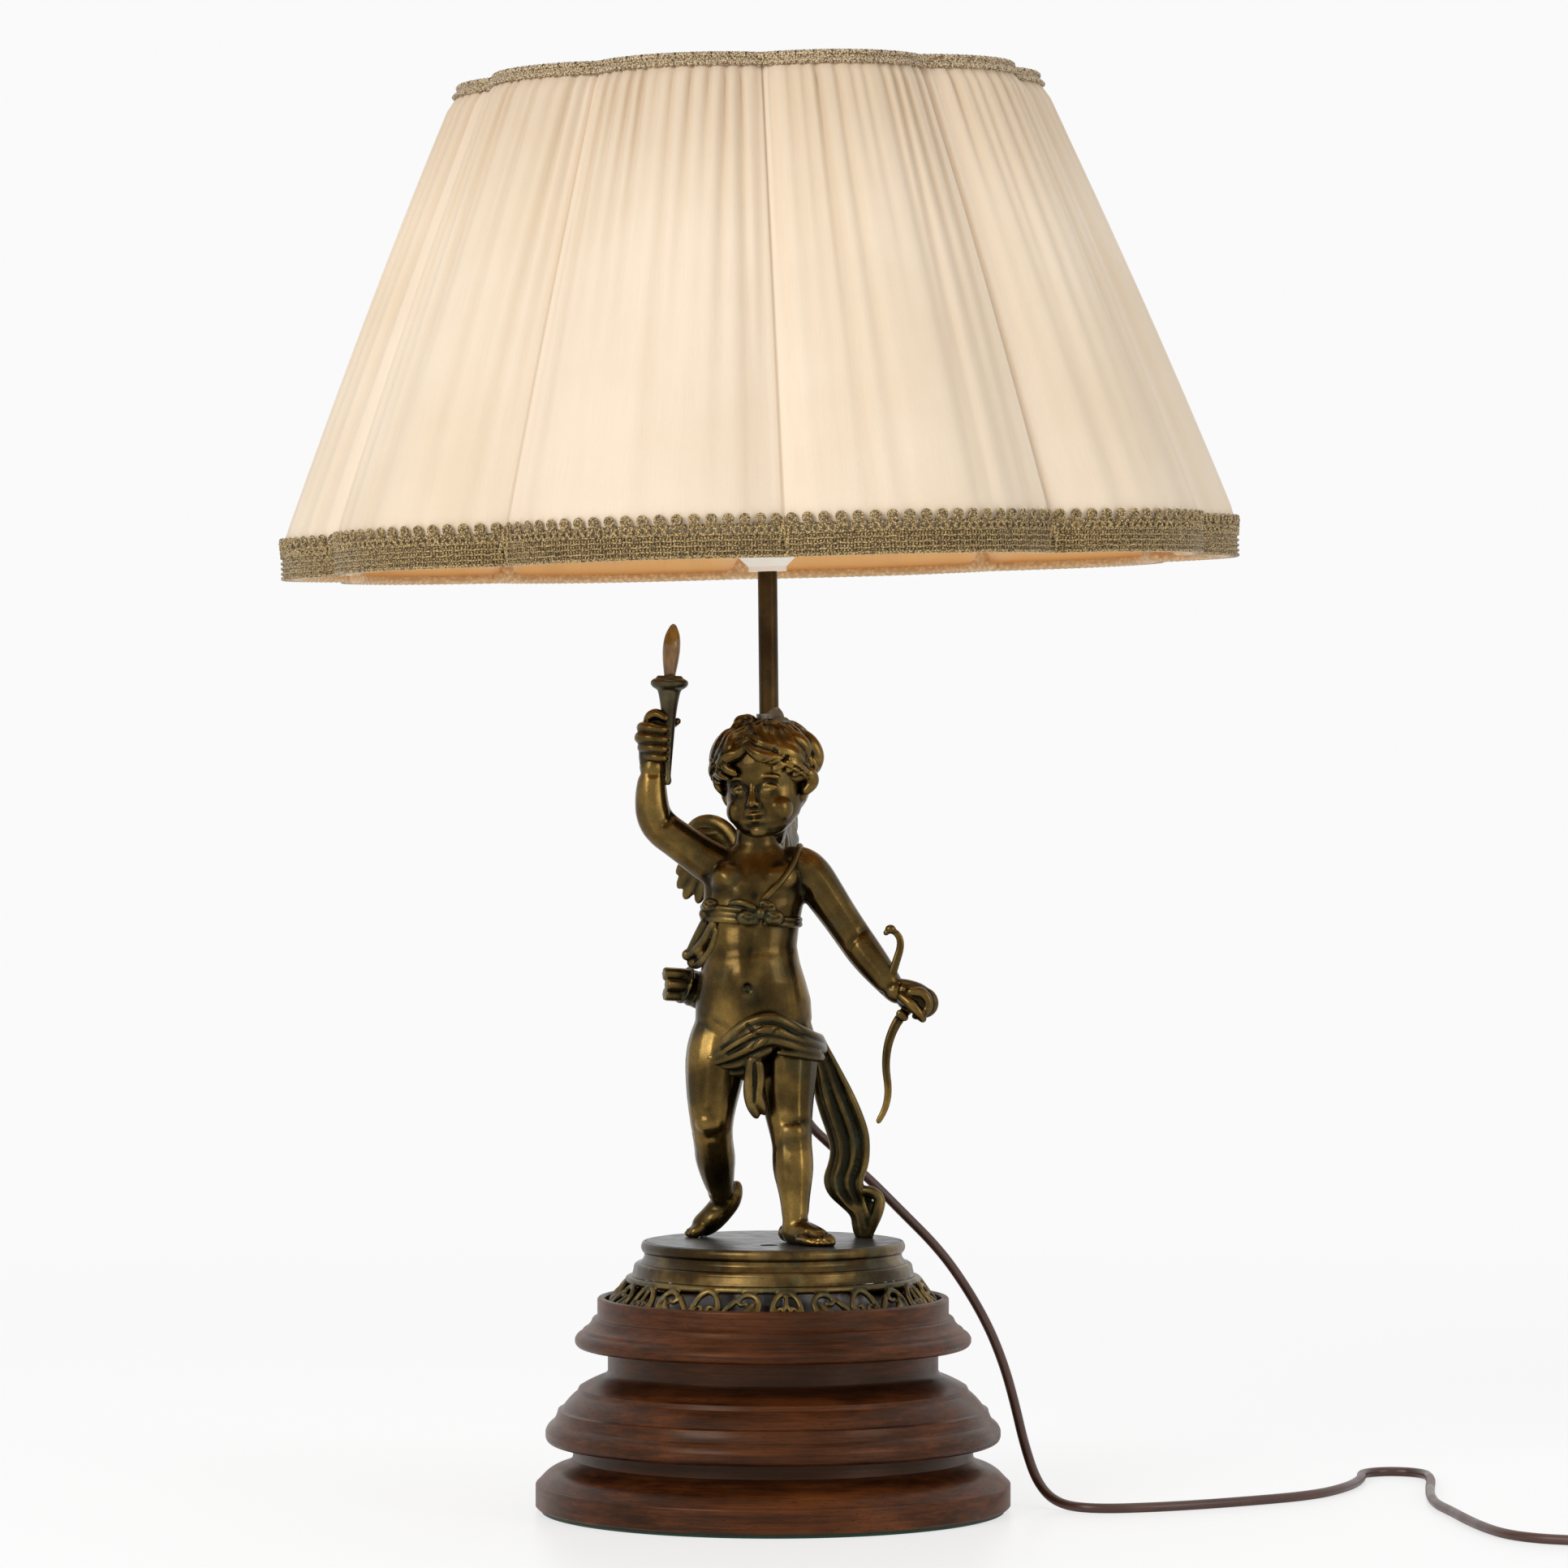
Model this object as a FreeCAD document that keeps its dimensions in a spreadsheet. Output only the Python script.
import FreeCAD, Part
import math
import os
import re

import Sketcher
from FreeCAD import Placement, Rotation, Vector

# A table lamp: a turned wooden plinth in three boards, a cast base with a pierced gallery, a winged figure that
# holds up a torch and lowers a bow, a lamp holder with its bulb, and a fluted fabric shade on a wire frame.
# Millimetres, +Z up, front towards -Y. The origin is the centre of the felt's underside.

os.makedirs("parts", exist_ok=True)
doc = FreeCAD.newDocument("figural_table_lamp")
sheet = doc.addObject("Spreadsheet::Sheet", "Sizes")

SIZES = {
    "plinth": {
        "felt_thick": 2.0,
        "felt_radius": 119.0,
        "lower_board": 29.0,
        "middle_board": 41.0,
        "upper_board": 37.7,
        "block_radius": 122.0,
        "lower_neck_radius": 102.6,
        "lower_flange_radius": 116.9,
        "upper_neck_radius": 84.9,
        "upper_flange_radius": 101.8,
        "rim_radius": 90.3,
        "recess_radius": 86.5,
        "recess_deep": 4.7,
    },
    "tie rod": {
        "rod_radius": 4.9,
        "rod_clearance": 0.3,
        "rod_spare": 2.0,
        "nut_corner_radius": 9.8,
        "nut_tall": 8.0,
        "washer_radius": 14.0,
        "washer_thick": 2.0,
        "nut_pocket_radius": 16.0,
        "nut_pocket_deep": 14.0,
    },
    "cast base": {
        "gallery_tall": 16.0,
        "gallery_foot_radius": 85.4,
        "gallery_top_radius": 72.8,
        "gallery_wall": 2.4,
        "gallery_turn": 4.4,
        "gallery_motifs": 12,
        "moulding_tall": 17.2,
        "moulding_inner_radius": 62.0,
        "web_thick": 3.0,
        "plate_radius": 65.6,
        "plate_thick": 3.0,
        "plate_proud": 0.3,
        "plate_clearance": 0.1,
        "plate_hole_radius": 4.8,
        "plate_hole_back": -30.5,
        "plate_hole_side": -2.0,
    },
    "figure": {
        "figure_tall": 269.5,
        "foot_screw_radius": 1.8,
        "foot_screw_long": 10.0,
        "foot_screw_head_radius": 3.4,
        "foot_screw_head_tall": 2.4,
        "bow_radius": 2.1,
        "wing_thick": 4.0,
        "sash_thick": 2.0,
        "sash_wide": 12.0,
        "arrow_radius": 1.3,
    },
    "stem": {
        "stem_radius": 5.0,
        "stem_wall": 1.0,
        "stem_long": 93.0,
        "stem_lean": 0.6,
        "stem_sunk": 15.0,
        "collar_wall": 1.5,
        "collar_tall": 8.0,
        "collar_proud": 1.0,
    },
    "holder": {
        "holder_lean": 1.5,
        "holder_entry": 4.0,
        "cap_neck_radius": 9.8,
        "cap_tall": 26.0,
        "cap_wall": 2.0,
        "barrel_radius": 20.0,
        "barrel_tall": 32.0,
        "barrel_wall": 4.0,
        "barrel_floor": 5.0,
        "flange_wide": 2.6,
        "flange_tall": 2.0,
        "ring_clearance": 0.05,
        "ring_nut_wide": 4.4,
        "ring_nut_tall": 8.0,
        "shell_radius": 14.4,
        "shell_wall": 0.7,
        "shell_tall": 22.0,
        "contact_radius": 4.0,
        "contact_tall": 3.0,
    },
    "bulb": {
        "bulb_cap_radius": 13.2,
        "bulb_cap_tall": 26.0,
        "bulb_radius": 30.0,
        "bulb_tall": 108.0,
        "bulb_wall": 0.8,
    },
    "shade": {
        "lobes": 10,
        "lobe_turn": 3.0,
        "shade_tall": 252.0,
        "shade_rise": 1.0,
        "shade_aside": 3.1,
        "foot_lobe_radius": 243.0,
        "foot_cusp_radius": 223.5,
        "head_lobe_radius": 145.0,
        "head_cusp_radius": 132.5,
        "shade_swell": 2.0,
        "skirt_tall": 22.0,
        "cover_thick": 1.2,
        "lining_thick": 0.6,
        "lining_clearance": 0.2,
        "foot_braid_tall": 23.0,
        "foot_braid_thick": 5.0,
        "head_braid_tall": 8.0,
        "head_braid_thick": 2.0,
        "wire_radius": 1.6,
        "wire_clearance": 0.2,
        "fitter_wide": 8.0,
        "fitter_thick": 2.0,
        "arm_radius": 1.5,
        "arm_count": 5,
        "arm_rise": 40.0,
    },
    "cord": {
        "cord_radius": 2.5,
        "bush_radius": 5.0,
        "bush_long": 10.0,
        "coil_radius": 27.5,
        "coil_fill_radius": 8.0,
        "plug_long": 36.0,
        "plug_wide": 27.0,
        "plug_thick": 13.6,
        "pin_radius": 2.0,
        "pin_long": 19.0,
        "pin_apart": 19.0,
    },
}

row = 0
for group, sizes in SIZES.items():
    for alias, size in sizes.items():
        row += 1
        sheet.set(f"A{row}", group)
        sheet.set(f"B{row}", alias)
        sheet.set(f"C{row}", str(size))
        sheet.setAlias(f"C{row}", alias)
doc.recompute()


def bound(text):
    """An expression in the sheet's names, as any object of the document can be bound to it."""
    return re.sub(r"[a-z]\w+", lambda name: "Sizes." + name.group(), text)


def number(text):
    """What an expression in the sheet's names comes to now."""
    return float(sheet.evalExpression(text))


# Levels, one on top of the other.
lower_top = "(felt_thick + lower_board)"
middle_top = f"({lower_top} + middle_board)"
plinth_top = f"({middle_top} + upper_board)"
recess_floor = f"({plinth_top} - recess_deep)"
gallery_top = f"({recess_floor} + gallery_tall)"
web_top = f"({gallery_top} + web_thick)"
base_top = f"({gallery_top} + moulding_tall)"
plate_top = f"({base_top} + plate_proud)"
rod_bore = "(rod_radius + rod_clearance)"
pocket_top = "(felt_thick + nut_pocket_deep)"


def plane_of(body, role):
    return next(feature for feature in body.Origin.OriginFeatures if feature.Role == role)


def arc_between(start, end, bulge):
    """The circular edge from start to end that bulges to the right of its way (bulge over 0) or to the left."""
    chord = end - start
    left = Vector(-chord.y, chord.x, 0)
    left.normalize()
    rise = math.sqrt(bulge * bulge - chord.Length * chord.Length / 4)
    centre = (start + end) / 2 + left * math.copysign(rise, bulge)
    first, last = (start, end) if bulge > 0 else (end, start)
    angles = [math.atan2(point.y - centre.y, point.x - centre.x) for point in (first, last)]
    return Part.ArcOfCircle(Part.Circle(centre, Vector(0, 0, 1), abs(bulge)), *angles)


def draw_outline(sketch, outline):
    """Draws a closed outline whose corners are (across, up, bulge). Across and up are bound to the sheet. Bulge is
    the radius of the arc to the next corner: 0 for a straight line, over 0 to the right of the way, under 0 left."""
    corners = [Vector(number(across), number(up), 0) for across, up, _ in outline]
    ends = []
    for index, (_, _, bulge) in enumerate(outline):
        start = corners[index]
        end = corners[(index + 1) % len(corners)]
        edge = arc_between(start, end, bulge) if bulge else Part.LineSegment(start, end)
        sketch.addGeometry(edge, False)
        ends.append((2, 1) if bulge < 0 else (1, 2))
    for index, (across, up, bulge) in enumerate(outline):
        first = ends[index][0]
        last = ends[index - 1][1]
        before = (index - 1) % len(outline)
        sketch.addConstraint(Sketcher.Constraint("Coincident", before, last, index, first))
        if across == "0":
            sketch.addConstraint(Sketcher.Constraint("PointOnObject", index, first, -2))
        else:
            place = sketch.addConstraint(
                Sketcher.Constraint("DistanceX", -1, 1, index, first, corners[index].x)
            )
            sketch.setExpression(f"Constraints[{place}]", bound(across))
        place = sketch.addConstraint(
            Sketcher.Constraint("DistanceY", -1, 1, index, first, corners[index].y)
        )
        sketch.setExpression(f"Constraints[{place}]", bound(up))
        if bulge:
            sketch.addConstraint(Sketcher.Constraint("Radius", index, abs(bulge)))


def turned(label, outline, placement=None):
    """A body turned about its own Z axis from an outline of (radius, height, bulge)."""
    body = doc.addObject("PartDesign::Body", label)
    sketch = body.newObject("Sketcher::SketchObject", label + "_outline")
    sketch.AttachmentSupport = (plane_of(body, "XZ_Plane"), [""])
    sketch.MapMode = "FlatFace"
    draw_outline(sketch, outline)
    turning = body.newObject("PartDesign::Revolution", label + "_turning")
    turning.Profile = (sketch, [""])
    turning.ReferenceAxis = (sketch, ["V_Axis"])
    turning.Angle = 360
    if placement:
        body.Placement = placement
    doc.recompute()
    return body


def cylinder(label, radius, height, placement):
    made = doc.addObject("Part::Cylinder", label)
    made.setExpression("Radius", bound(radius))
    made.setExpression("Height", bound(height))
    made.Placement = placement
    return made


def cut(label, base, tool):
    made = doc.addObject("Part::Cut", label)
    made.Base = base
    made.Tool = tool
    return made


def solid(label, shape, placement=None):
    """A sub-part whose shape is worked out from the sheet's values."""
    made = doc.addObject("Part::Feature", label)
    made.Shape = shape
    if placement:
        made.Placement = placement
    return made


def largest(shape):
    """The largest solid of a cut, without the slivers that it leaves."""
    return max(shape.Solids, key=lambda piece: piece.Volume)


def raised(level):
    return Placement(Vector(0, 0, number(level)), Rotation())


nodes = []

# ---------------------------------------------------------------------------- plinth

nodes.append(cylinder("base_felt", "felt_radius", "felt_thick", raised("0")))

nodes.append(turned("plinth_lower", [
    (rod_bore, pocket_top, 0),
    ("nut_pocket_radius", pocket_top, 0),
    ("nut_pocket_radius", "felt_thick", 0),
    ("block_radius - 1", "felt_thick", 0),
    ("block_radius", "felt_thick + 1", 0),
    ("block_radius", f"{lower_top} - 17.6", 1.6),
    ("block_radius - 0.9", f"{lower_top} - 16.1", 0),
    ("block_radius - 3.3", f"{lower_top} - 13.6", 17),
    ("block_radius - 13.2", f"{lower_top} - 7.8", -9.5),
    ("lower_neck_radius + 0.4", f"{lower_top} - 3.7", 0),
    ("lower_neck_radius", lower_top, 0),
    (rod_bore, lower_top, 0),
]))

nodes.append(turned("plinth_middle", [
    (rod_bore, lower_top, 0),
    ("lower_neck_radius", lower_top, 0),
    ("lower_neck_radius", f"{lower_top} + 3.4", 0),
    ("lower_flange_radius - 3.6", f"{lower_top} + 4", 3.8),
    ("lower_flange_radius", f"{lower_top} + 7.4", 0),
    ("lower_flange_radius", f"{lower_top} + 10.3", 8),
    ("lower_flange_radius - 4", f"{lower_top} + 15.3", -14),
    ("lower_flange_radius - 6.4", f"{lower_top} + 21", 0),
    ("lower_flange_radius - 8.5", f"{lower_top} + 21.8", 30),
    ("lower_flange_radius - 16.1", f"{lower_top} + 30.1", 0),
    ("lower_flange_radius - 17.2", f"{lower_top} + 32.5", 60),
    ("upper_neck_radius + 2.5", f"{middle_top} - 2.7", -5),
    ("upper_neck_radius", middle_top, 0),
    (rod_bore, middle_top, 0),
]))

nodes.append(turned("plinth_upper", [
    (rod_bore, middle_top, 0),
    ("upper_neck_radius", middle_top, 0),
    ("upper_neck_radius", f"{middle_top} + 11.5", 0),
    ("upper_flange_radius - 3.3", f"{middle_top} + 12", 3.5),
    ("upper_flange_radius", f"{middle_top} + 15", 0),
    ("upper_flange_radius", f"{middle_top} + 16.5", 6),
    ("upper_flange_radius - 3.3", f"{middle_top} + 20", 0),
    ("upper_flange_radius - 4.5", f"{middle_top} + 21.6", -8),
    ("upper_flange_radius - 8.8", f"{middle_top} + 26.3", 2),
    ("rim_radius + 1", f"{middle_top} + 27.6", 0),
    ("rim_radius", f"{middle_top} + 28.5", 0),
    ("rim_radius", f"{plinth_top} - 1.3", 1.4),
    ("rim_radius - 1.3", plinth_top, 0),
    ("recess_radius + 0.6", plinth_top, 0),
    ("recess_radius", f"{plinth_top} - 0.8", 0),
    ("recess_radius", recess_floor, 0),
    (rod_bore, recess_floor, 0),
]))

# ---------------------------------------------------------------------------- tie rod

rod_foot = f"({pocket_top} - washer_thick - nut_tall - rod_spare)"
rod_long = f"({web_top} + nut_tall + rod_spare - {rod_foot})"
nodes.append(cylinder("tie_rod", "rod_radius", rod_long, raised(rod_foot)))

nodes.append(turned("tie_washer", [
    (rod_bore, f"{pocket_top} - washer_thick", 0),
    ("washer_radius", f"{pocket_top} - washer_thick", 0),
    ("washer_radius", pocket_top, 0),
    (rod_bore, pocket_top, 0),
]))

for label, foot in (
    ("tie_nut_lower", f"{pocket_top} - washer_thick - nut_tall"),
    ("tie_nut_upper", web_top),
):
    blank = doc.addObject("Part::Prism", label + "_blank")
    blank.Polygon = 6
    blank.setExpression("Circumradius", bound("nut_corner_radius"))
    blank.setExpression("Height", bound("nut_tall"))
    blank.Placement = raised(foot)
    bore = cylinder(label + "_bore", "rod_radius", "nut_tall", raised(foot))
    nodes.append(cut(label, blank, bore))

# ---------------------------------------------------------------------------- cast base

gallery = turned("pierced_gallery", [
    ("gallery_foot_radius - 1.4 - gallery_wall", recess_floor, 0),
    ("gallery_foot_radius - 1.4", recess_floor, 0),
    ("gallery_foot_radius", f"{recess_floor} + 1.6", 0),
    ("gallery_foot_radius", f"{recess_floor} + 4", -12),
    ("gallery_foot_radius - 6.1", f"{recess_floor} + 8.4", 0),
    ("gallery_top_radius + 3.4", f"{gallery_top} - 3", 0),
    ("gallery_top_radius", gallery_top, 0),
    ("moulding_inner_radius", gallery_top, 0),
    ("moulding_inner_radius", f"{gallery_top} - gallery_wall", 0),
    ("gallery_top_radius - gallery_wall", f"{gallery_top} - gallery_wall", 0),
    ("gallery_top_radius + 1.2", f"{recess_floor} + 8.4", 12),
    ("gallery_foot_radius - gallery_wall", f"{recess_floor} + 4", 0),
])

# Each motif is an arch between two curls, with a leaf-shaped gap to the next one.
ARCH_HALF = 4.2
ARCH_FOOT = 1.8
ARCH_SPRING = 5.6
CURL_RADIUS = 2.1
CURL_ASIDE = 9.6
CURL_UP = 6.4
motif = gallery.newObject("Sketcher::SketchObject", "gallery_motif")
motif.AttachmentSupport = (plane_of(gallery, "XZ_Plane"), [""])
motif.MapMode = "FlatFace"
draw_outline(motif, [
    (f"{-ARCH_HALF}", f"{recess_floor} + {ARCH_FOOT}", 0),
    (f"{ARCH_HALF}", f"{recess_floor} + {ARCH_FOOT}", 0),
    (f"{ARCH_HALF}", f"{recess_floor} + {ARCH_SPRING}", ARCH_HALF + 0.01),
    (f"{-ARCH_HALF}", f"{recess_floor} + {ARCH_SPRING}", 0),
])
for side in (-1, 1):
    centre = Vector(side * CURL_ASIDE, number(recess_floor) + CURL_UP, 0)
    curl = motif.addGeometry(Part.Circle(centre, Vector(0, 0, 1), CURL_RADIUS), False)
    motif.addConstraint(Sketcher.Constraint("Radius", curl, CURL_RADIUS))
    motif.addConstraint(Sketcher.Constraint("DistanceX", -1, 1, curl, 3, centre.x))
    place = motif.addConstraint(Sketcher.Constraint("DistanceY", -1, 1, curl, 3, centre.y))
    motif.setExpression(f"Constraints[{place}]", bound(f"{recess_floor} + {CURL_UP}"))
piercing = gallery.newObject("PartDesign::Pocket", "gallery_piercing")
piercing.Profile = (motif, [""])
piercing.setExpression("Length", bound("gallery_foot_radius + 5"))
piercing.Reversed = True
doc.recompute()
ring_of_motifs = gallery.newObject("PartDesign::PolarPattern", "gallery_pattern")
ring_of_motifs.Originals = [piercing]
ring_of_motifs.Axis = (plane_of(gallery, "Z_Axis"), [""])
ring_of_motifs.Angle = 360
ring_of_motifs.Occurrences = int(number("gallery_motifs"))
gallery.Tip = ring_of_motifs
gallery.Placement = Placement(Vector(), Rotation(Vector(0, 0, 1), number("gallery_turn")))
doc.recompute()
nodes.append(gallery)

seat_radius = "(plate_radius + plate_clearance)"
seat_level = f"({plate_top} - plate_thick)"
nodes.append(turned("base_moulding", [
    (rod_bore, gallery_top, 0),
    ("gallery_top_radius", gallery_top, 0),
    ("gallery_top_radius - 0.6", f"{gallery_top} + 1.3", 0),
    ("gallery_top_radius - 1.2", f"{gallery_top} + 4", 2.6),
    ("gallery_top_radius - 4.6", f"{gallery_top} + 6.6", 0),
    ("plate_radius + 0.8", f"{gallery_top} + 9.2", -3),
    ("plate_radius + 0.8", f"{gallery_top} + 11.6", 3.8),
    ("plate_radius + 1.2", base_top, 0),
    (seat_radius, base_top, 0),
    (seat_radius, seat_level, 0),
    ("moulding_inner_radius", seat_level, 0),
    ("moulding_inner_radius", web_top, 0),
    (rod_bore, web_top, 0),
]))

# ---------------------------------------------------------------------------- figure

# Stations are drawn on a figure 269.5 mm tall, in millimetres from the centre of the plate's top.
DRAWN_TALL = 269.5
figure_scale = number("figure_tall") / DRAWN_TALL
stand = Vector(0, 0, number(plate_top))


def on_figure(x, y, z):
    return stand + Vector(x, y, z) * figure_scale


def round_wire(centre, way, radius):
    return Part.Wire(Part.makeCircle(radius, centre, way))


def limb(stations):
    """A solid through round sections (x, y, z, radius), each square to the way that the stations run."""
    places = [on_figure(x, y, z) for x, y, z, _ in stations]
    wires = []
    for index, station in enumerate(stations):
        way = places[min(index + 1, len(places) - 1)] - places[max(index - 1, 0)]
        wires.append(round_wire(places[index], way, station[3] * figure_scale))
    return Part.makeLoft(wires, True, False)


def oval_wire(centre, half_wide, half_deep):
    """A level oval. Its longer half comes first, as an ellipse needs."""
    if half_wide > half_deep:
        return Part.Wire(Part.Ellipse(centre, half_wide, half_deep).toShape())
    if half_wide == half_deep:
        return round_wire(centre, Vector(0, 0, 1), half_wide)
    far = centre + Vector(0, half_deep, 0)
    aside = centre - Vector(half_wide, 0, 0)
    return Part.Wire(Part.Ellipse(far, aside, centre).toShape())


def trunk(stations, grow=0.0):
    """A solid through level ovals (x, y, z, half width, half depth), grown all round by a thickness."""
    wires = [
        oval_wire(on_figure(x, y, z), wide * figure_scale + grow, deep * figure_scale + grow)
        for x, y, z, wide, deep in stations
    ]
    return Part.makeLoft(wires, True, False)


def below_plate():
    """What lies under the plate's top, to flatten soles and hems on it."""
    return Part.makeBox(300, 300, 60, Vector(-150, -150, number(plate_top) - 60))


TORSO = [
    (-9.0, 0.0, 93.5, 19.0, 15.0),
    (-9.5, 1.0, 106.5, 28.0, 21.5),
    (-10.0, 1.5, 120.5, 30.2, 23.5),
    (-10.8, -1.0, 133.5, 27.0, 22.5),
    (-11.2, -1.5, 150.5, 24.0, 20.5),
    (-10.8, 0.0, 164.5, 24.6, 19.5),
    (-9.8, 0.0, 178.5, 25.4, 19.0),
    (-9.0, 1.0, 190.5, 24.5, 16.5),
    (-8.5, 1.0, 198.5, 18.0, 13.0),
    (-8.3, 0.5, 204.0, 11.5, 11.0),
    (-8.0, 0.0, 214.0, 10.0, 10.0),
]
STANDING_LEG = [
    (6.0, 1.0, 112.0, 14.0),
    (7.5, -1.0, 95.0, 15.8),
    (8.1, -4.0, 77.5, 13.8),
    (9.4, -9.0, 59.5, 11.0),
    (10.4, -12.0, 49.5, 10.2),
    (10.6, -14.0, 40.3, 10.4),
    (11.0, -17.0, 27.5, 8.6),
    (11.3, -19.0, 15.5, 7.2),
    (11.5, -20.0, 5.0, 7.4),
]
STANDING_FOOT = [
    (8.2, -15.5, 4.0, 4.0),
    (11.0, -19.0, 4.6, 7.2),
    (16.0, -25.0, 4.0, 7.4),
    (22.0, -32.0, 2.4, 7.6),
    (27.0, -38.0, 1.2, 6.4),
    (29.5, -41.0, 0.8, 3.6),
]
REAR_LEG = [
    (-26.0, 2.0, 112.0, 14.5),
    (-28.5, 0.0, 95.0, 16.2),
    (-31.0, -3.0, 77.5, 14.0),
    (-31.5, -2.0, 59.5, 11.2),
    (-30.5, 4.0, 49.5, 10.0),
    (-29.5, 10.0, 39.5, 9.8),
    (-28.0, 17.0, 29.5, 7.8),
    (-26.5, 21.0, 20.0, 6.6),
]
REAR_FOOT = [
    (-18.8, 23.0, 25.5, 3.6),
    (-23.0, 23.5, 20.0, 6.8),
    (-29.0, 24.0, 11.5, 6.6),
    (-35.0, 24.0, 4.6, 6.0),
    (-41.0, 23.5, 1.6, 4.6),
    (-44.0, 23.0, 0.8, 2.6),
]
HEAD = [
    (-9.0, -9.0, 208.0, 7.0, 6.5),
    (-7.0, -2.5, 212.0, 15.0, 16.0),
    (-5.0, 0.5, 218.0, 19.5, 21.5),
    (-4.5, 1.5, 226.0, 23.0, 25.0),
    (-4.0, 2.0, 236.0, 26.0, 26.0),
    (-3.6, 1.5, 246.0, 26.4, 25.6),
    (-3.4, 1.0, 256.5, 23.0, 24.0),
    (-3.0, 1.0, 265.0, 14.0, 15.5),
    (-3.0, 1.0, 269.5, 5.0, 6.0),
]
RAISED_ARM = [
    (-25.0, 1.0, 190.5, 10.5),
    (-33.0, 0.5, 194.5, 11.0),
    (-41.0, 0.0, 200.5, 10.0),
    (-50.0, -1.0, 207.5, 9.6),
    (-58.5, -2.0, 213.0, 9.2),
    (-62.5, -3.0, 221.0, 8.7),
    (-62.6, -4.0, 231.0, 8.0),
    (-61.6, -4.8, 243.0, 6.3),
]
LOWERED_ARM = [
    (12.0, 1.0, 193.5, 10.5),
    (19.0, 0.5, 188.5, 11.0),
    (26.0, -1.0, 178.5, 10.2),
    (34.5, -2.5, 166.0, 9.6),
    (43.0, -4.5, 153.5, 9.2),
    (50.0, -8.0, 144.0, 8.6),
    (57.5, -12.0, 135.5, 7.6),
    (64.0, -15.0, 127.8, 6.2),
]
RAISED_PALM = [
    (-61.6, -4.8, 242.5, 6.3),
    (-61.2, -5.2, 247.0, 7.6),
    (-60.6, -5.6, 253.0, 8.2),
    (-60.0, -5.8, 260.0, 7.6),
    (-59.0, -6.0, 266.0, 5.4),
]
LOWERED_PALM = [
    (64.0, -15.0, 127.8, 6.2),
    (67.0, -16.0, 125.5, 7.0),
    (71.5, -16.8, 123.0, 7.4),
    (77.0, -17.2, 121.0, 6.4),
    (81.5, -17.4, 119.8, 4.4),
]
LOIN_WRAP = [
    (-38.0, 6.0, 98.0, 6.0),
    (-36.0, -12.0, 92.0, 8.0),
    (-22.0, -22.0, 94.0, 10.0),
    (-5.0, -24.0, 100.0, 11.0),
    (10.0, -19.0, 101.0, 9.0),
    (21.0, -6.0, 101.0, 7.5),
    (24.0, 8.0, 101.0, 6.5),
]
LOIN_TAIL = [
    (-6.0, -24.0, 112.0, 5.0),
    (-7.0, -25.5, 100.0, 8.0),
    (-8.5, -22.5, 86.0, 7.6),
    (-8.5, -19.0, 74.0, 6.0),
    (-7.5, -16.5, 64.0, 3.4),
]
TRAIN = [
    (18.0, 13.0, 104.0, 7.0),
    (25.0, 15.0, 92.0, 8.6),
    (31.0, 17.0, 78.0, 8.8),
    (36.0, 18.5, 62.0, 8.6),
    (38.5, 19.0, 46.0, 8.4),
    (39.5, 19.0, 30.0, 8.8),
    (43.5, 19.0, 14.0, 9.2),
    (46.0, 19.0, 1.0, 8.0),
]
BOW = [
    (61.0, -16.5, 160.0),
    (65.0, -16.5, 151.5),
    (61.6, -16.5, 141.0),
    (60.8, -16.5, 134.0),
    (65.0, -16.5, 127.0),
    (71.5, -16.5, 121.5),
    (63.6, -16.5, 113.5),
    (59.2, -16.5, 103.0),
    (57.2, -16.5, 90.0),
    (59.2, -16.5, 77.0),
    (57.4, -16.5, 67.5),
    (53.0, -16.5, 61.5),
]
QUIVER = [
    (-47.5, 15.0, 131.5, 9.6),
    (-44.0, 16.5, 130.0, 8.6),
    (-30.0, 22.0, 122.0, 8.2),
    (-14.0, 27.0, 112.0, 7.4),
    (-6.0, 29.0, 107.0, 6.0),
]
LEFT_WING = [
    (-17.0, 180.0), (-16.0, 202.0), (-24.0, 214.0), (-36.0, 218.5), (-46.0, 214.0),
    (-48.5, 205.0), (-46.0, 196.0), (-42.0, 188.0), (-36.0, 181.0), (-28.0, 176.5),
]
TORCH_FOOT = (-54.2, -6.0, 234.0)
TORCH_HEAD = (-53.1, -6.0, 286.0)


def rounded_path(points, share=0.45):
    """Straight runs joined by tangent arcs, each as large as its two runs allow. Gives the wire and the radii."""
    edges = []
    radii = []
    here = points[0]
    for before, corner, after in zip(points, points[1:], points[2:]):
        arriving = corner - before
        leaving = after - corner
        reach = share * min(arriving.Length, leaving.Length)
        half_turn = arriving.getAngle(leaving) / 2
        arriving.normalize()
        leaving.normalize()
        radius = reach / math.tan(half_turn)
        inward = leaving - arriving
        inward.normalize()
        middle = corner + inward * (radius / math.cos(half_turn) - radius)
        start = corner - arriving * reach
        end = corner + leaving * reach
        edges.append(Part.LineSegment(here, start).toShape())
        edges.append(Part.Arc(start, middle, end).toShape())
        radii.append(radius)
        here = end
    edges.append(Part.LineSegment(here, points[-1]).toShape())
    return Part.Wire(edges), radii


def tube(points, radius):
    """A round bar along a rounded path, with the path's length and radii."""
    path, radii = rounded_path(points)
    section = round_wire(points[0], points[1] - points[0], radius)
    return path.makePipeShell([section], True, False), path.Length, radii


under = below_plate()
body_shape = trunk(TORSO)
for stations in (STANDING_LEG, REAR_LEG, STANDING_FOOT, REAR_FOOT):
    body_shape = body_shape.fuse(limb(stations))
body_shape = largest(body_shape.cut(under))

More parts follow.
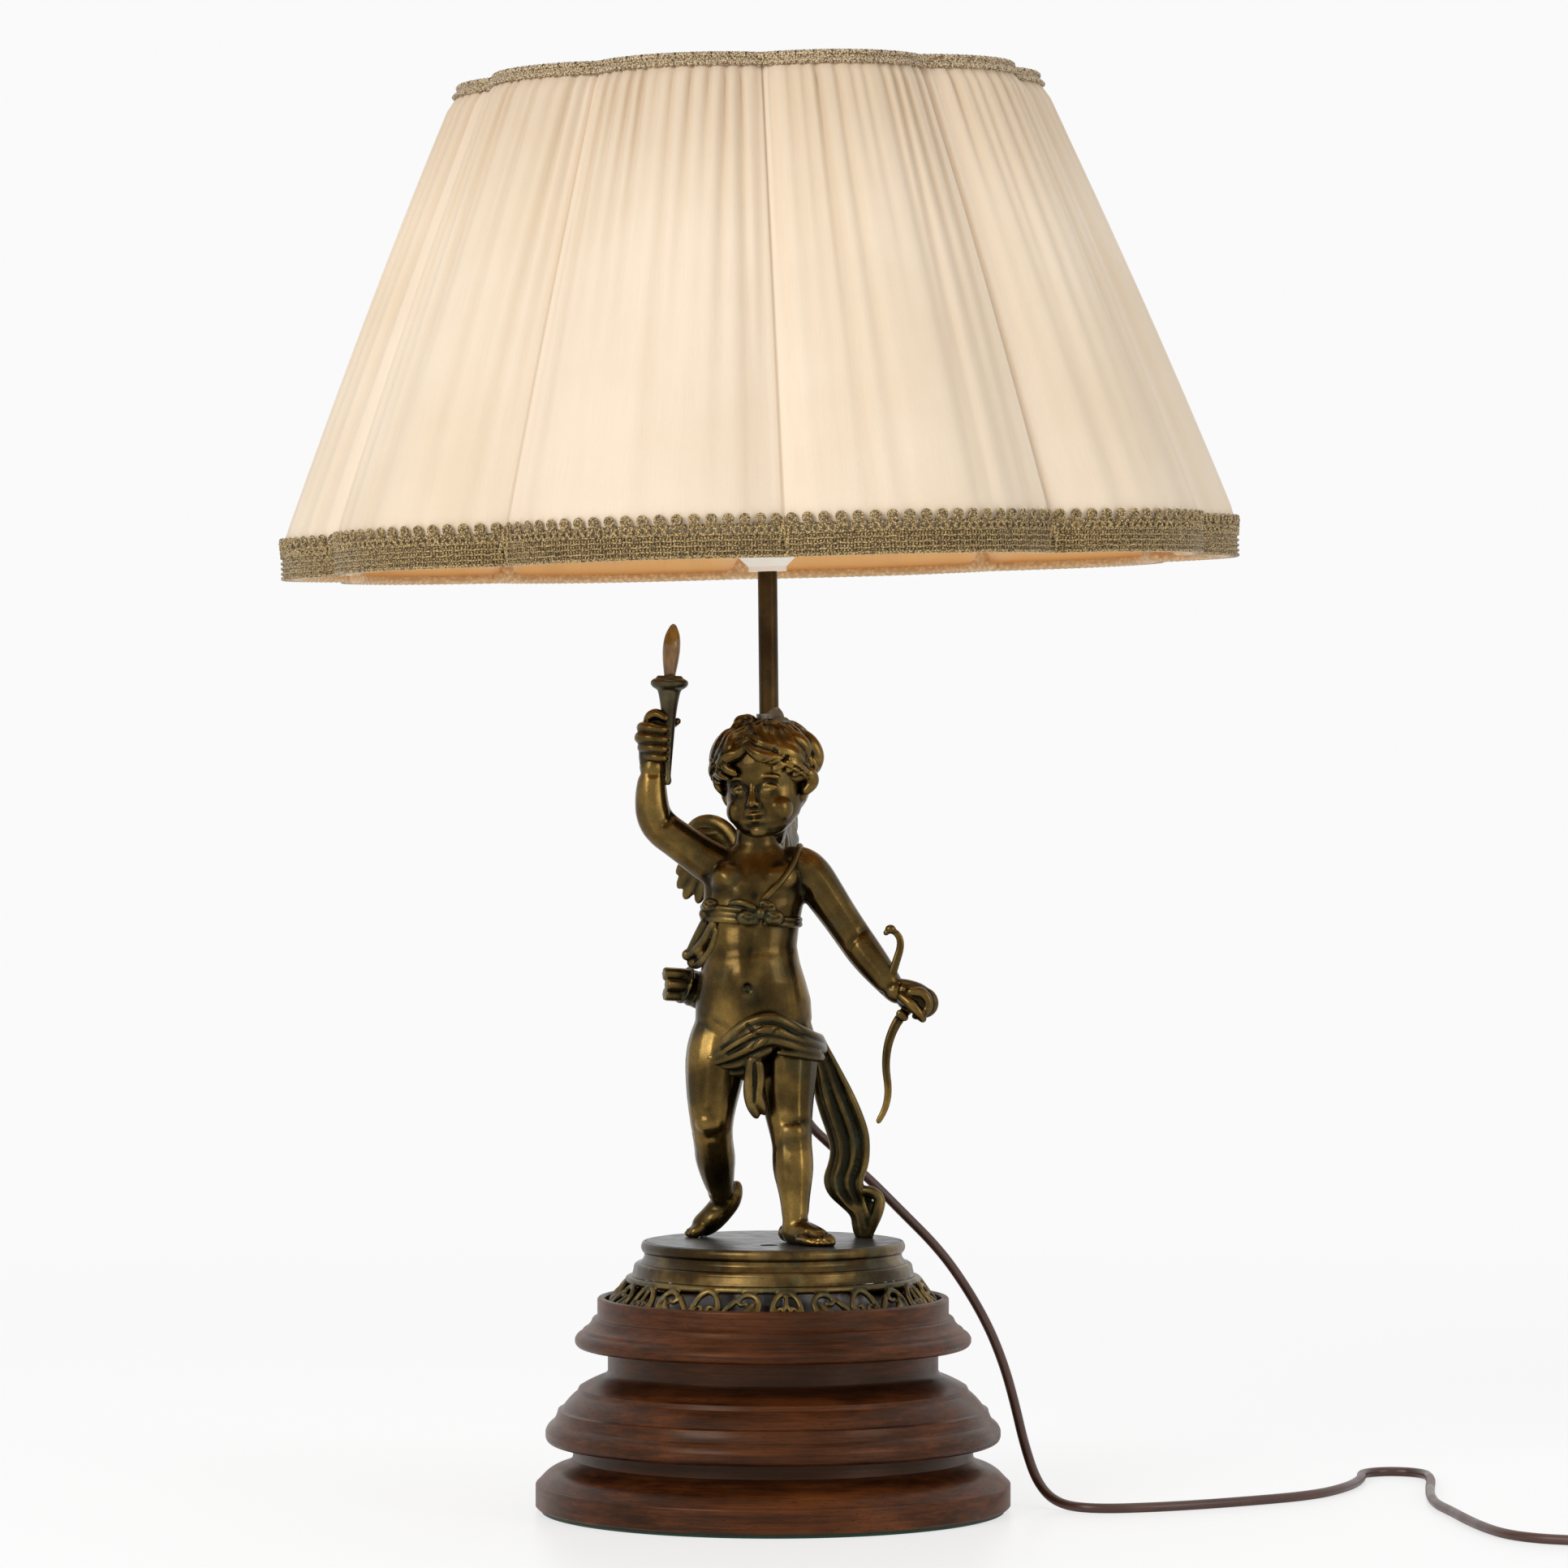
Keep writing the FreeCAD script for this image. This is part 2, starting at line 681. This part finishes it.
# Two screws come up through the plate into the soles, and one into the train's hem.
SCREW_SPOTS = [(14.5, -23.0), (-36.0, 23.5), (44.0, 19.0)]
screw_level = number(seat_level) - number("foot_screw_head_tall")
screws = []
for x, y in SCREW_SPOTS:
    spot = Vector(x * figure_scale, y * figure_scale, 0)
    long = number("foot_screw_head_tall + plate_thick + foot_screw_long")
    shank = Part.makeCylinder(number("foot_screw_radius"), long, spot + Vector(0, 0, screw_level))
    head = Part.makeCylinder(
        number("foot_screw_head_radius"), number("foot_screw_head_tall"), spot + Vector(0, 0, screw_level)
    )
    screws.append(shank.fuse(head).removeSplitter().Solids[0])
foot_screws = Part.makeCompound(screws)

plate = turned("top_plate_blank", [
    ("0", seat_level, 0),
    ("plate_radius", seat_level, 0),
    ("plate_radius", f"{plate_top} - 0.6", 0),
    ("plate_radius - 0.6", plate_top, 0),
    ("0", plate_top, 0),
])
hole_place = Placement(
    Vector(number("plate_hole_side"), number("plate_hole_back"), number(seat_level)), Rotation()
)
drilled = cut("top_plate_drilled", plate, cylinder("top_plate_hole", "plate_hole_radius", "plate_thick", hole_place))
screw_bodies = doc.addObject("Part::Feature", "foot_screw_tool")
screw_bodies.Shape = foot_screws
nodes.append(cut("top_plate", drilled, screw_bodies))
nodes.append(solid("foot_screws", foot_screws))

body_shape = largest(body_shape.cut(foot_screws))
nodes.append(solid("figure_body", body_shape))

# The stem rises from the crown and leans a little to the left.
stem_rotation = Rotation(Vector(0, 1, 0), -number("stem_lean"))
crown = on_figure(-2.1, 0.0, DRAWN_TALL)
stem_foot = crown + stem_rotation.multVec(Vector(0, 0, -number("stem_sunk")))
stem_way = stem_rotation.multVec(Vector(0, 0, 1))
stem_bar = Part.makeCylinder(number("stem_radius"), number("stem_long"), stem_foot, stem_way)
stem_bore = Part.makeCylinder(number("stem_radius - stem_wall"), number("stem_long"), stem_foot, stem_way)
stem_shape = stem_bar.cut(stem_bore)
collar_foot = crown + stem_way * number("collar_proud - collar_tall")
collar_bar = Part.makeCylinder(
    number("stem_radius + collar_wall"), number("collar_tall"), collar_foot, stem_way
)
collar_shape = collar_bar.cut(stem_bar)

head_shape = largest(trunk(HEAD).cut(body_shape).cut(stem_bar).cut(collar_bar))
nodes.append(solid("figure_head", head_shape))

sash_place = Placement(on_figure(-14.0, 0.0, 178.0), Rotation(Vector(0, 1, 0), -42))
sash_wide = number("sash_wide")
sash_slab = Part.makeBox(140, 140, sash_wide, Vector(-70, -70, -sash_wide / 2))
sash_slab.Placement = sash_place
sash_shape = trunk(TORSO[3:], number("sash_thick")).common(sash_slab)
sash_shape = largest(sash_shape.cut(body_shape))

raised_arm = largest(limb(RAISED_ARM).cut(body_shape).cut(sash_shape))
lowered_arm = largest(limb(LOWERED_ARM).cut(body_shape).cut(sash_shape))
nodes.append(solid("chest_sash", sash_shape))
nodes.append(solid("raised_arm", raised_arm))
nodes.append(solid("lowered_arm", lowered_arm))

# The torch is turned about its own axis, from the ball at its foot to the cup that holds the flame.
torch_foot = on_figure(*TORCH_FOOT)
torch_head = on_figure(*TORCH_HEAD)
torch_place = Placement(torch_foot, Rotation(Vector(0, 0, 1), torch_head - torch_foot))
torch_long = (torch_head - torch_foot).Length
torch = turned("torch_body", [
    ("0", "0", 1.8),
    ("1.9", "3", 0),
    ("2", "6", 0),
    ("3.1", "29", 0),
    ("3.8", "36", 0),
    ("4.9", "42", -7),
    ("6.3", "46.6", 0),
    ("8", "48.4", 0),
    ("8", "49.6", 2.2),
    ("9.7", "52", 0),
    ("7.2", "52", -6),
    ("4", "48", 0),
    ("0", "48", 0),
], torch_place)
nodes.append(torch)
flame_place = Placement(torch_place.multVec(Vector(0, 0, 48)), torch_place.Rotation)
nodes.append(turned("torch_flame", [
    ("0", "0", 0),
    ("3.4", "0", -20),
    ("4.9", "12", 14),
    ("3.4", "24", -30),
    ("0.6", "34", 0),
    ("0", "34", 0),
], flame_place))


def fist(palm, grip, way, ring_radius, finger_radius, spread, knuckles=4):
    """A palm with fingers that close round a bar: each finger is a ring about the bar's axis."""
    hand = palm
    for finger in range(knuckles):
        shift = (finger - (knuckles - 1) / 2) * spread
        centre = grip + way * (shift * figure_scale)
        ring = Part.makeTorus(ring_radius * figure_scale, finger_radius * figure_scale, centre, way)
        hand = hand.fuse(ring)
    return hand


torch_way = (torch_head - torch_foot)
torch_way.normalize()
grip = torch_foot + torch_way * (20 * figure_scale)
raised_hand = fist(limb(RAISED_PALM), grip, torch_way, 4.6, 2.7, 5.2)
raised_hand = largest(raised_hand.cut(torch.Shape).cut(raised_arm))
nodes.append(solid("raised_hand", raised_hand))

bow_points = [on_figure(*point) for point in BOW]
bow_shape, _, _ = tube(bow_points, number("bow_radius") * figure_scale)
bow_grip = on_figure(69.5, -16.5, 123.0)
bow_way = on_figure(71.5, -16.5, 121.5) - on_figure(65.0, -16.5, 127.0)
bow_way.normalize()
lowered_hand = limb(LOWERED_PALM)
lowered_hand = largest(lowered_hand.cut(lowered_arm))
bow_shape = largest(bow_shape.cut(lowered_hand))
nodes.append(solid("lowered_hand", lowered_hand))
nodes.append(solid("bow", bow_shape))


def wing(outline, root_turn, hinge):
    """A wing: its outline stands on the shoulder blade's upright line and is turned back about it."""
    points = [Vector(x, 0, z) * figure_scale for x, z in outline]
    curve = Part.BSplineCurve()
    curve.interpolate(Points=points, PeriodicFlag=True)
    face = Part.Face(Part.Wire(curve.toShape()))
    thick = number("wing_thick") * figure_scale
    blade = face.extrude(Vector(0, thick, 0))
    hinge_point = Vector(hinge, 0, 0) * figure_scale
    blade.rotate(hinge_point, Vector(0, 0, 1), root_turn)
    return blade


left_wing = wing(LEFT_WING, -32, -17)
left_wing.translate(stand + Vector(0, 13 * figure_scale, 0))
left_wing = largest(left_wing.cut(body_shape).cut(raised_arm).cut(sash_shape).cut(head_shape))
nodes.append(solid("wing_left", left_wing))
right_wing = wing([(-34 - x, z) for x, z in LEFT_WING], 78, -17)
right_wing.translate(stand + Vector(19 * figure_scale, 13 * figure_scale, 0))
right_wing = largest(right_wing.cut(body_shape).cut(lowered_arm).cut(sash_shape).cut(head_shape))
nodes.append(solid("wing_right", right_wing))

loin_tail = largest(limb(LOIN_TAIL).cut(body_shape))
loin_wrap = largest(limb(LOIN_WRAP).cut(body_shape).cut(loin_tail))
train = limb(TRAIN).cut(under).cut(body_shape).cut(loin_wrap).cut(foot_screws)
train = largest(train)
nodes.append(solid("loin_drapery", loin_wrap))
nodes.append(solid("drapery_tail", loin_tail))
nodes.append(solid("drapery_train", train))

quiver_whole = limb(QUIVER)
mouth = on_figure(*QUIVER[0][:3])
mouth_way = on_figure(*QUIVER[0][:3]) - on_figure(*QUIVER[2][:3])
mouth_way.normalize()
quiver_well = Part.makeCylinder(
    6.6 * figure_scale, 12 * figure_scale, mouth - mouth_way * (10 * figure_scale), mouth_way
)
quiver_shape = largest(quiver_whole.cut(quiver_well).cut(body_shape).cut(sash_shape).cut(train))
nodes.append(solid("quiver", quiver_shape))
arrows = []
across = mouth_way.cross(Vector(0, 0, 1))
across.normalize()
upward = across.cross(mouth_way)
for turn in (20, 140, 260):
    aside = across * math.cos(math.radians(turn)) + upward * math.sin(math.radians(turn))
    foot = mouth - mouth_way * (10 * figure_scale) + aside * (3.6 * figure_scale)
    shaft = Part.makeCylinder(
        number("arrow_radius") * figure_scale, 17 * figure_scale, foot, mouth_way
    )
    arrows.append(shaft)
nodes.append(solid("quiver_arrows", Part.makeCompound(arrows)))

# ---------------------------------------------------------------------------- stem and holder

nodes.append(solid("stem_collar", collar_shape))
nodes.append(solid("stem_tube", stem_shape))

stem_end = stem_foot + stem_way * number("stem_long")
holder_rotation = Rotation(Vector(0, 1, 0), -number("holder_lean"))
holder_up = holder_rotation.multVec(Vector(0, 0, 1))
holder_place = Placement(stem_end - holder_up * number("holder_entry"), holder_rotation)


def in_holder(x, y, z):
    """The placement of a piece that stands on the holder's own axis."""
    return holder_place.multiply(Placement(Vector(x, y, z), Rotation()))


entry_radius = "(stem_radius + 0.1)"
nodes.append(turned("holder_cap", [
    (entry_radius, "0", 0),
    ("cap_neck_radius", "0", 0),
    ("cap_neck_radius", "2.5", 0),
    ("barrel_radius - 5.2", "7.5", 12),
    ("barrel_radius + 0.6", "cap_tall - 6", 0),
    ("barrel_radius + 0.6", "cap_tall", 0),
    ("barrel_radius + 0.6 - cap_wall", "cap_tall", 0),
    ("barrel_radius + 0.6 - cap_wall", "cap_tall - 5.5", -10),
    ("barrel_radius - 7", "9.5", 0),
    ("cap_neck_radius - 1", "holder_entry + 2", 0),
    (entry_radius, "holder_entry + 2", 0),
], holder_place))

barrel_top = "(cap_tall + barrel_tall)"
flange_top = "(cap_tall + flange_tall)"
floor_top = "(cap_tall + barrel_floor)"
nodes.append(turned("holder_body", [
    ("contact_radius - 1", "cap_tall", 0),
    ("barrel_radius + flange_wide", "cap_tall", 0),
    ("barrel_radius + flange_wide", flange_top, 0),
    ("barrel_radius", flange_top, 0),
    ("barrel_radius", f"{barrel_top} - 1", 0),
    ("barrel_radius - 1", barrel_top, 0),
    ("barrel_radius - barrel_wall", barrel_top, 0),
    ("barrel_radius - barrel_wall", floor_top, 0),
    ("contact_radius - 1", floor_top, 0),
], holder_place))

nodes.append(turned("holder_shell", [
    ("contact_radius + 3", floor_top, 0),
    ("shell_radius", floor_top, 0),
    ("shell_radius", f"{floor_top} + shell_tall", 0),
    ("shell_radius - shell_wall", f"{floor_top} + shell_tall", 0),
    ("shell_radius - shell_wall", f"{floor_top} + shell_wall", 0),
    ("contact_radius + 3", f"{floor_top} + shell_wall", 0),
], holder_place))

contact_top = f"({floor_top} + contact_tall)"
nodes.append(turned("holder_contact", [
    ("0", floor_top, 0),
    ("contact_radius", floor_top, 0),
    ("contact_radius", f"{contact_top} - 1", 0),
    ("contact_radius - 1", contact_top, 0),
    ("0", contact_top, 0),
], holder_place))

# ---------------------------------------------------------------------------- bulb

cap_end = f"({contact_top} + bulb_cap_tall)"
bulb_end = f"({contact_top} + bulb_tall)"
nodes.append(turned("bulb_cap", [
    ("0", contact_top, 0),
    ("4.5", contact_top, 0),
    ("6", f"{contact_top} + 2", 0),
    ("bulb_cap_radius", f"{contact_top} + 6", 0),
    ("bulb_cap_radius", cap_end, 0),
    ("bulb_cap_radius - 1", cap_end, 0),
    ("bulb_cap_radius - 1", f"{contact_top} + 7", 0),
    ("0", f"{contact_top} + 7", 0),
], holder_place))

widest = f"({bulb_end} - bulb_radius)"
nodes.append(turned("bulb_globe", [
    ("bulb_cap_radius - 1 - bulb_wall", f"{cap_end} - 5", 0),
    ("bulb_cap_radius - 1", f"{cap_end} - 5", 0),
    ("bulb_cap_radius - 1", cap_end, 0),
    ("bulb_cap_radius + 1.6", f"{cap_end} + 12", -60),
    ("bulb_radius - 6.4", f"{widest} - 16", 30),
    ("bulb_radius", widest, 30),
    ("0", bulb_end, 0),
    ("0", f"{bulb_end} - bulb_wall", -29.2),
    ("bulb_radius - bulb_wall", widest, -29.2),
    ("bulb_radius - 6.4 - bulb_wall", f"{widest} - 16", 60),
    ("bulb_cap_radius + 1.6 - bulb_wall", f"{cap_end} + 12", 0),
    ("bulb_cap_radius - 1 - bulb_wall", cap_end, 0),
], holder_place))

# ---------------------------------------------------------------------------- shade

shade_place = in_holder(-number("shade_aside"), 0, number("shade_rise"))
pitch = math.radians(360 / number("lobes"))
first_cusp = math.radians(number("lobe_turn"))
lobe_count = int(number("lobes"))


def polar(radius, angle, z):
    """A point at an angle from the front, counted towards +X."""
    return Vector(radius * math.sin(angle), -radius * math.cos(angle), z)


def lobe_section(outer, thick, z):
    """The level section of one lobe's wall: an arc over the lobe outside, and one a thickness further in."""
    lobe_radius, cusp_radius = outer
    start = first_cusp
    end = first_cusp + pitch
    middle = (start + end) / 2
    outside = Part.Arc(
        polar(cusp_radius, start, z), polar(lobe_radius, middle, z), polar(cusp_radius, end, z)
    ).toShape()
    inside = Part.Arc(
        polar(cusp_radius - thick, end, z),
        polar(lobe_radius - thick, middle, z),
        polar(cusp_radius - thick, start, z),
    ).toShape()
    closing = Part.LineSegment(polar(cusp_radius, end, z), polar(cusp_radius - thick, end, z)).toShape()
    opening = Part.LineSegment(polar(cusp_radius - thick, start, z), polar(cusp_radius, start, z)).toShape()
    return Part.Wire([outside, closing, inside, opening])


def wall_at(z):
    """The fabric's outside at a height over the hem: the radius over a lobe and the radius at a cusp."""
    tall = number("shade_tall")
    skirt = number("skirt_tall")
    share = max(0.0, (z - skirt) / (tall - skirt))
    swell = number("shade_swell") * 4 * share * (1 - share)
    lobe_radius = number("foot_lobe_radius") + share * number("head_lobe_radius - foot_lobe_radius") + swell
    cusp_radius = number("foot_cusp_radius") + share * number("head_cusp_radius - foot_cusp_radius") + swell
    return lobe_radius, cusp_radius


def shifted(outer, inward):
    return outer[0] - inward, outer[1] - inward


def lobe_wall(levels, inward, thick):
    """One lobe's wall through some levels, set inwards from the fabric's outside."""
    wires = [lobe_section(shifted(wall_at(z), inward), thick, z) for z in levels]
    return Part.makeLoft(wires, True, True)


def all_round(piece, count, first=0):
    """Copies of a piece at every lobe, or at every second one."""
    step = 360 / count
    copies = []
    for index in range(count):
        copy = piece.copy()
        copy.rotate(Vector(), Vector(0, 0, 1), step * index + first)
        copies.append(copy)
    return copies


shade_tall = number("shade_tall")
skirt_tall = number("skirt_tall")
mid_levels = [skirt_tall + share * (shade_tall - skirt_tall) for share in (0.33, 0.67)]
cover_levels = [0, skirt_tall, *mid_levels, shade_tall]
cover_thick = number("cover_thick")
panel = lobe_wall(cover_levels, 0, cover_thick)
nodes.append(solid("shade_cover", Part.makeCompound(all_round(panel, lobe_count)), shade_place))

lining_in = number("cover_thick + lining_clearance")
lining_thick = number("lining_thick")
lining_levels = [1, skirt_tall, *mid_levels, shade_tall - 1]
lining_panel = lobe_wall(lining_levels, lining_in, lining_thick)
nodes.append(solid("shade_lining", Part.makeCompound(all_round(lining_panel, lobe_count)), shade_place))

foot_braid_thick = number("foot_braid_thick")
foot_wall = wall_at(0)
foot_braid_top = min(number("foot_braid_tall"), skirt_tall)
foot_braid = Part.makeLoft([
    lobe_section(shifted(foot_wall, -foot_braid_thick), foot_braid_thick, 0),
    lobe_section(shifted(foot_wall, -foot_braid_thick), foot_braid_thick, foot_braid_top),
], True, True)
nodes.append(solid("bottom_braid", Part.makeCompound(all_round(foot_braid, lobe_count)), shade_place))

head_braid_thick = number("head_braid_thick")
head_braid_foot = shade_tall - number("head_braid_tall")
head_braid = lobe_wall([head_braid_foot, shade_tall], -head_braid_thick, head_braid_thick)
nodes.append(solid("top_braid", Part.makeCompound(all_round(head_braid, lobe_count)), shade_place))

wire_radius = number("wire_radius")
wall_lean = math.atan(number("foot_lobe_radius - head_lobe_radius") / (shade_tall - skirt_tall))
wire_in = lining_in + lining_thick + number("wire_clearance + wire_radius") / math.cos(wall_lean)


def ring_wire(z):
    """One closed wire bent to the lobes: a lobe's arc, run past both cusps and mitred there, then repeated and joined."""
    lobe_radius, cusp_radius = shifted(wall_at(z), wire_in)
    start = first_cusp
    end = first_cusp + pitch
    arc = Part.Arc(
        polar(cusp_radius, start, z), polar(lobe_radius, (start + end) / 2, z), polar(cusp_radius, end, z)
    ).toShape()
    centre = arc.Curve.Center
    spin = math.degrees(arc.Length / arc.Curve.Radius)
    extra = math.degrees(3 * wire_radius / arc.Curve.Radius)
    begin = polar(cusp_radius, start, z) - centre
    begin = Rotation(Vector(0, 0, 1), -extra).multVec(begin)
    tangent = Vector(0, 0, 1).cross(begin)
    disc = Part.Face(round_wire(centre + begin, tangent, wire_radius))
    bar = disc.revolve(centre, Vector(0, 0, 1), spin + 2 * extra)
    far = lobe_radius + 20
    low = z - 3 * wire_radius
    wedge_wire = Part.makePolygon([Vector(0, 0, low), polar(far, start, low), polar(far, end, low), Vector(0, 0, low)])
    wedge = Part.Face(wedge_wire).extrude(Vector(0, 0, 6 * wire_radius))
    mitred = bar.common(wedge).Solids[0]
    first, *others = all_round(mitred, lobe_count)
    return first.multiFuse(others).Solids[0]


foot_wire_level = wire_radius + 1
head_wire_level = shade_tall - wire_radius - 1
foot_ring = ring_wire(foot_wire_level)
head_ring = ring_wire(head_wire_level)
nodes.append(solid("shade_bottom_ring", foot_ring, shade_place))
nodes.append(solid("shade_top_ring", head_ring, shade_place))

strut_levels = [foot_wire_level + wire_radius, skirt_tall, head_wire_level - wire_radius]
strut_points = [polar(wall_at(z)[1] - wire_in, first_cusp, z) for z in strut_levels]
strut, _, _ = tube(strut_points, wire_radius)
strut_copies = all_round(strut, lobe_count)
nodes.append(solid("shade_struts", Part.makeCompound(strut_copies), shade_place))

# The fitter's ring rests on the holder's flange. Its arms rise to every second strut.
ring_low = number(f"{flange_top} + ring_clearance - shade_rise")
ring_thick = number("fitter_thick")
ring_axis = Vector(number("shade_aside"), 0, ring_low)
ring_bore = number("barrel_radius + ring_clearance")
ring_outer = ring_bore + number("fitter_wide")
fitter_ring = Part.makeCylinder(ring_outer, ring_thick, ring_axis).cut(
    Part.makeCylinder(ring_bore, ring_thick, ring_axis)
)
nodes.append(solid("fitter_ring", fitter_ring, shade_place))

arm_radius = number("arm_radius")
arm_count = int(number("arm_count"))
arm_rise = number("arm_rise")
arms = []
for index in range(arm_count):
    angle = first_cusp + pitch * lobe_count / arm_count * index
    strut_point = polar(wall_at(arm_rise)[1] - wire_in, angle, arm_rise)
    ring_point = ring_axis + polar(ring_outer - arm_radius, angle, ring_thick / 2)
    out_point = ring_axis + polar(ring_outer + 30, angle, ring_thick / 2 + 2)
    high_point = out_point + (strut_point - out_point) * 0.45 + Vector(0, 0, 3)
    arm, _, _ = tube([ring_point, out_point, high_point, strut_point], arm_radius)
    trimmed = arm.cut(fitter_ring).cut(strut_copies[index * lobe_count // arm_count])
    arms.append(largest(trimmed))
nodes.append(solid("fitter_arms", Part.makeCompound(arms), shade_place))

nut_low = number(f"{flange_top} + fitter_thick + 2*ring_clearance")
nut_bore = number("barrel_radius + ring_clearance")
nut_outer = nut_bore + number("ring_nut_wide")
nut_blank = Part.makeCylinder(nut_outer, number("ring_nut_tall"), Vector(0, 0, nut_low))
nut_hole = Part.makeCylinder(nut_bore, number("ring_nut_tall"), Vector(0, 0, nut_low))
grips = [
    Part.makeCylinder(2, number("ring_nut_tall"), polar(nut_outer + 1, math.radians(angle), nut_low))
    for angle in range(0, 360, 30)
]
ring_nut = nut_blank.cut(nut_hole).cut(Part.makeCompound(grips))
nodes.append(solid("shade_ring_nut", largest(ring_nut), holder_place))

# ---------------------------------------------------------------------------- cord

cord_radius = number("cord_radius")
exit_point = on_figure(6.0, 22.0, 87.0)
CORD_ROUTE = [
    (13.6, 50.0, 199.5), (32.7, 60.0, 181.0), (49.8, 65.0, 166.0), (66.8, 68.0, 148.7),
    (87.2, 68.0, 128.3), (101.6, 65.0, 108.1), (112.8, 58.0, 88.4), (120.6, 50.0, 68.8),
    (125.8, 40.0, 49.6), (130.0, 29.0, 30.6), (136.2, 15.0, 12.0), (145.7, 0.0, 3.2),
    (162.0, -18.0, 2.5), (198.0, -10.0, 2.5), (241.0, 13.0, 2.5), (282.0, 42.0, 2.5),
    (303.0, 80.0, 2.5), (313.0, 116.0, 2.5), (314.5, 141.0, 2.5), (331.5, 151.0, 2.5),
    (349.0, 141.0, 2.5), (349.5, 112.0, 2.5), (345.0, 75.0, 2.5), (341.5, 38.0, 2.5),
    (341.0, 4.0, 2.5), (346.0, -28.0, 2.5), (350.0, -62.0, 2.5), (355.5, -94.0, 2.5),
    (363.0, -121.0, 2.5), (377.0, -137.0, 3.0), (397.0, -142.0, 5.0), (413.0, -154.0, 8.0),
]
COIL_CENTRE = Vector(434.0, -140.0, 8.0)
TAIL_ROUTE = [
    (460.5, -133.0, 8.0), (463.0, -112.0, 7.4), (460.0, -93.0, 6.8), (458.0, -76.0, 6.8),
]
coil = Part.makeTorus(number("coil_radius"), number("coil_fill_radius"), COIL_CENTRE, Vector(0, 0, 1))

route = [exit_point] + [Vector(*point) for point in CORD_ROUTE]
first_way = route[1] - route[0]
first_way.normalize()
bush_start = exit_point - first_way * number("bush_long * 0.6")
bush_bar = Part.makeCylinder(number("bush_radius"), number("bush_long"), bush_start, first_way)
bush_end = bush_start + first_way * number("bush_long")
bush_shape = largest(bush_bar.cut(body_shape).cut(train).cut(quiver_shape))
nodes.append(solid("cord_bush", bush_shape))

route[0] = bush_end
cord_shape, cord_long, cord_radii = tube(route, cord_radius)
cord_shape = largest(cord_shape.cut(coil))
nodes.append(solid("cord", cord_shape))
nodes.append(solid("cord_coil", coil))

tail_route = [Vector(*point) for point in TAIL_ROUTE]
tail_shape, tail_long, tail_radii = tube(tail_route, cord_radius)
tail_shape = largest(tail_shape.cut(coil))
nodes.append(solid("cord_tail", tail_shape))

print("cord runs", round(cord_long), "mm with radii", [round(radius, 1) for radius in cord_radii])
print("cord tail", round(tail_long), "mm with radii", [round(radius, 1) for radius in tail_radii])
expected = math.pi * cord_radius**2 * cord_long
print("cord volume over section times length", round(cord_shape.Volume / expected, 3))

plug_way = tail_route[-1] - tail_route[-2]
plug_way.z = 0
plug_way.normalize()
plug_place = Placement(tail_route[-1], Rotation(Vector(0, 1, 0), plug_way))
plug_wide = number("plug_wide")
plug_thick = number("plug_thick")
plug_long = number("plug_long")


def plug_section(half_wide, half_thick, along):
    """A flat-sided oval across the plug: two straight sides joined by half rounds."""
    flat = half_wide - half_thick
    right = Part.Arc(
        Vector(flat, along, -half_thick), Vector(half_wide, along, 0), Vector(flat, along, half_thick)
    ).toShape()
    left = Part.Arc(
        Vector(-flat, along, half_thick), Vector(-half_wide, along, 0), Vector(-flat, along, -half_thick)
    ).toShape()
    top = Part.LineSegment(Vector(flat, along, half_thick), Vector(-flat, along, half_thick)).toShape()
    foot = Part.LineSegment(Vector(-flat, along, -half_thick), Vector(flat, along, -half_thick)).toShape()
    return Part.Wire([right, top, left, foot])


plug_body = Part.makeLoft([
    plug_section(5.2, 4.2, 0),
    plug_section(plug_wide * 0.32, plug_thick * 0.42, plug_long * 0.25),
    plug_section(plug_wide / 2, plug_thick / 2, plug_long * 0.6),
    plug_section(plug_wide / 2, plug_thick / 2, plug_long),
], True, True)
nodes.append(solid("plug_body", plug_body, plug_place))
pins = [
    Part.makeCylinder(
        number("pin_radius"), number("pin_long"), Vector(side * number("pin_apart") / 2, plug_long, 0), Vector(0, 1, 0)
    )
    for side in (-1, 1)
]
nodes.append(solid("plug_pins", Part.makeCompound(pins), plug_place))

# ---------------------------------------------------------------------------- check and write

doc.recompute()
for item in doc.Objects:
    if {"Invalid", "Error"} & set(item.State):
        raise RuntimeError(f"{item.Name} did not recompute: {item.State}")
for node in nodes:
    if node.Shape.isNull() or not node.Shape.isValid():
        raise RuntimeError(f"{node.Name} has no valid shape")
    if not node.Shape.Solids:
        raise RuntimeError(f"{node.Name} has no solid")
whole_wall = gallery.Shape.Volume
if whole_wall > 0.97 * next(item for item in gallery.Group if item.Name.endswith("turning")).Shape.Volume:
    raise RuntimeError("the gallery's piercing cut nothing")
for node in nodes:
    node.Shape.exportStep(f"parts/{node.Name}.step")
print(len(nodes), "sub-parts written")
